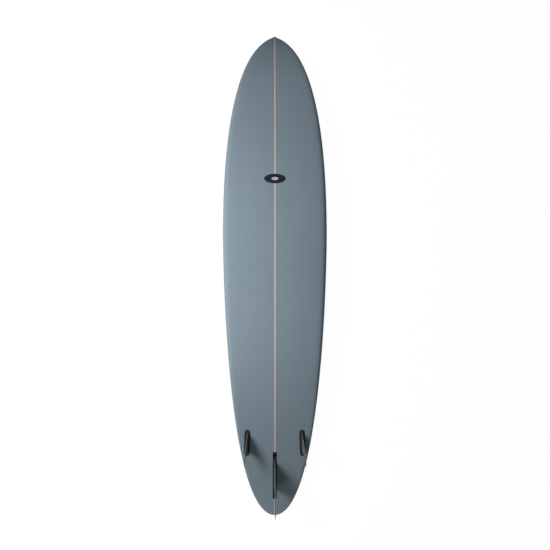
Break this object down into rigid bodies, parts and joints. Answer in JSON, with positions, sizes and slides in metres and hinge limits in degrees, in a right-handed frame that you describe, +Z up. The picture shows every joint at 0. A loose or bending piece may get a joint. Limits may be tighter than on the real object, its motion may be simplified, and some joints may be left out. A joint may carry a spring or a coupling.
{
  "type": "surfboard",
  "caption": "Round-tail mid-length surfboard with a wooden stringer, a sliding centre fin in a long box, side fins in two-tab plugs and a leash plug.",
  "frame": {"origin": "on the floor, midway between the nose and tail tips and on the stringer's line, with the board lying fins up on its deck", "axes": "+X to the right seen from above, +Y from tail to nose, +Z up and out of the bottom"},
  "size_m": [0.587, 2.743, 0.2284],
  "materials": {
    "laminate": "sanded blue-grey tinted glass laminate",
    "foam": "closed-cell foam blank",
    "stringer_wood": "pale timber under clear resin",
    "box_plastic": "moulded black",
    "fin_composite": "smoke-grey moulded composite",
    "steel": "stainless",
    "dark_steel": "blackened stainless screws"
  },
  "bodies": {
    "board": {"bottom_skin": "laminate", "deck_skin": "laminate", "foam_left": "foam", "foam_right": "foam", "stringer": "stringer_wood", "centre_fin_box": "box_plastic", "side_plug_left": "box_plastic", "side_plug_right": "box_plastic", "grub_front_left": "dark_steel", "grub_rear_left": "dark_steel", "grub_front_right": "dark_steel", "grub_rear_right": "dark_steel", "leash_cup": "box_plastic", "leash_bar": "steel"},
    "centre_fin": {"centre_fin": "fin_composite", "centre_fin_screw": "dark_steel", "centre_fin_plate": "steel", "centre_fin_pin": "steel"},
    "side_fin_left": {"side_fin_left": "fin_composite"},
    "side_fin_right": {"side_fin_right": "fin_composite"}
  },
  "joints": [
    {"name": "centre_fin_slide", "type": "slide", "parent": "board", "child": "centre_fin", "axis": [0, 0.9933, 0.1153], "range_m": [-0.044, 0.014]},
    {"name": "side_fin_left_lift", "type": "slide", "parent": "board", "child": "side_fin_left", "axis": [-0.0435, -0.0978, 0.9943], "range_m": [0, 0.013]},
    {"name": "side_fin_right_lift", "type": "slide", "parent": "board", "child": "side_fin_right", "axis": [0.0435, -0.0978, 0.9943], "range_m": [0, 0.013]}
  ]
}
